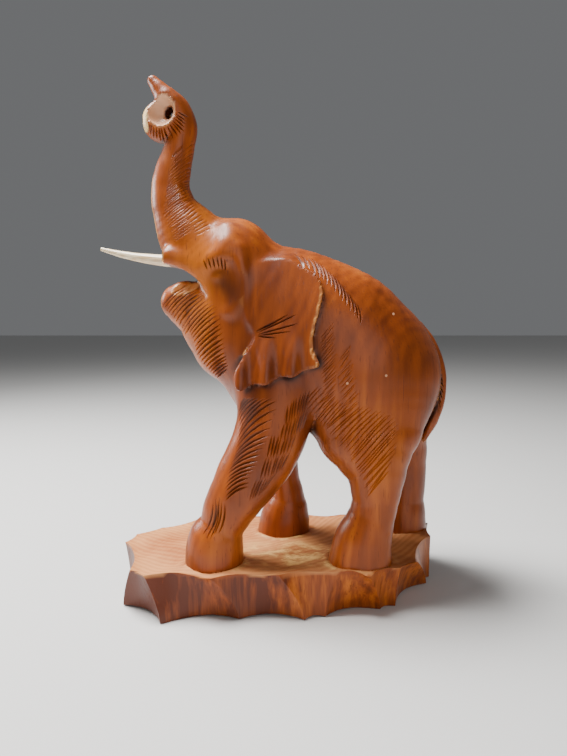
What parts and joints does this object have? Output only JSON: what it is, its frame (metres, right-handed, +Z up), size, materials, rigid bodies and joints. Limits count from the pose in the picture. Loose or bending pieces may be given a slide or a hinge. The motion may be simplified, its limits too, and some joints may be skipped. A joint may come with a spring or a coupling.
{
  "type": "carved wooden elephant sculpture",
  "caption": "Wooden elephant carved in one block with a rough-hewn base: striding, trunk raised in a curl, ears laid back, with a pale tusk let into the right side of its face.",
  "frame": {"origin": "on the ground plane, on the flat seat under the middle of the base", "axes": "+Z up, -X the way the elephant walks and looks, -Y its left side"},
  "size_m": [0.2939, 0.1475, 0.42],
  "materials": {
    "varnished_wood": "reddish-brown hardwood under a satin varnish, darker in the gouge cuts",
    "pale_tusk": "pale, close-grained, smooth and slightly glossy"
  },
  "bodies": {
    "root": {"carved_elephant": "varnished_wood", "right_tusk": "pale_tusk"}
  },
  "joints": []
}
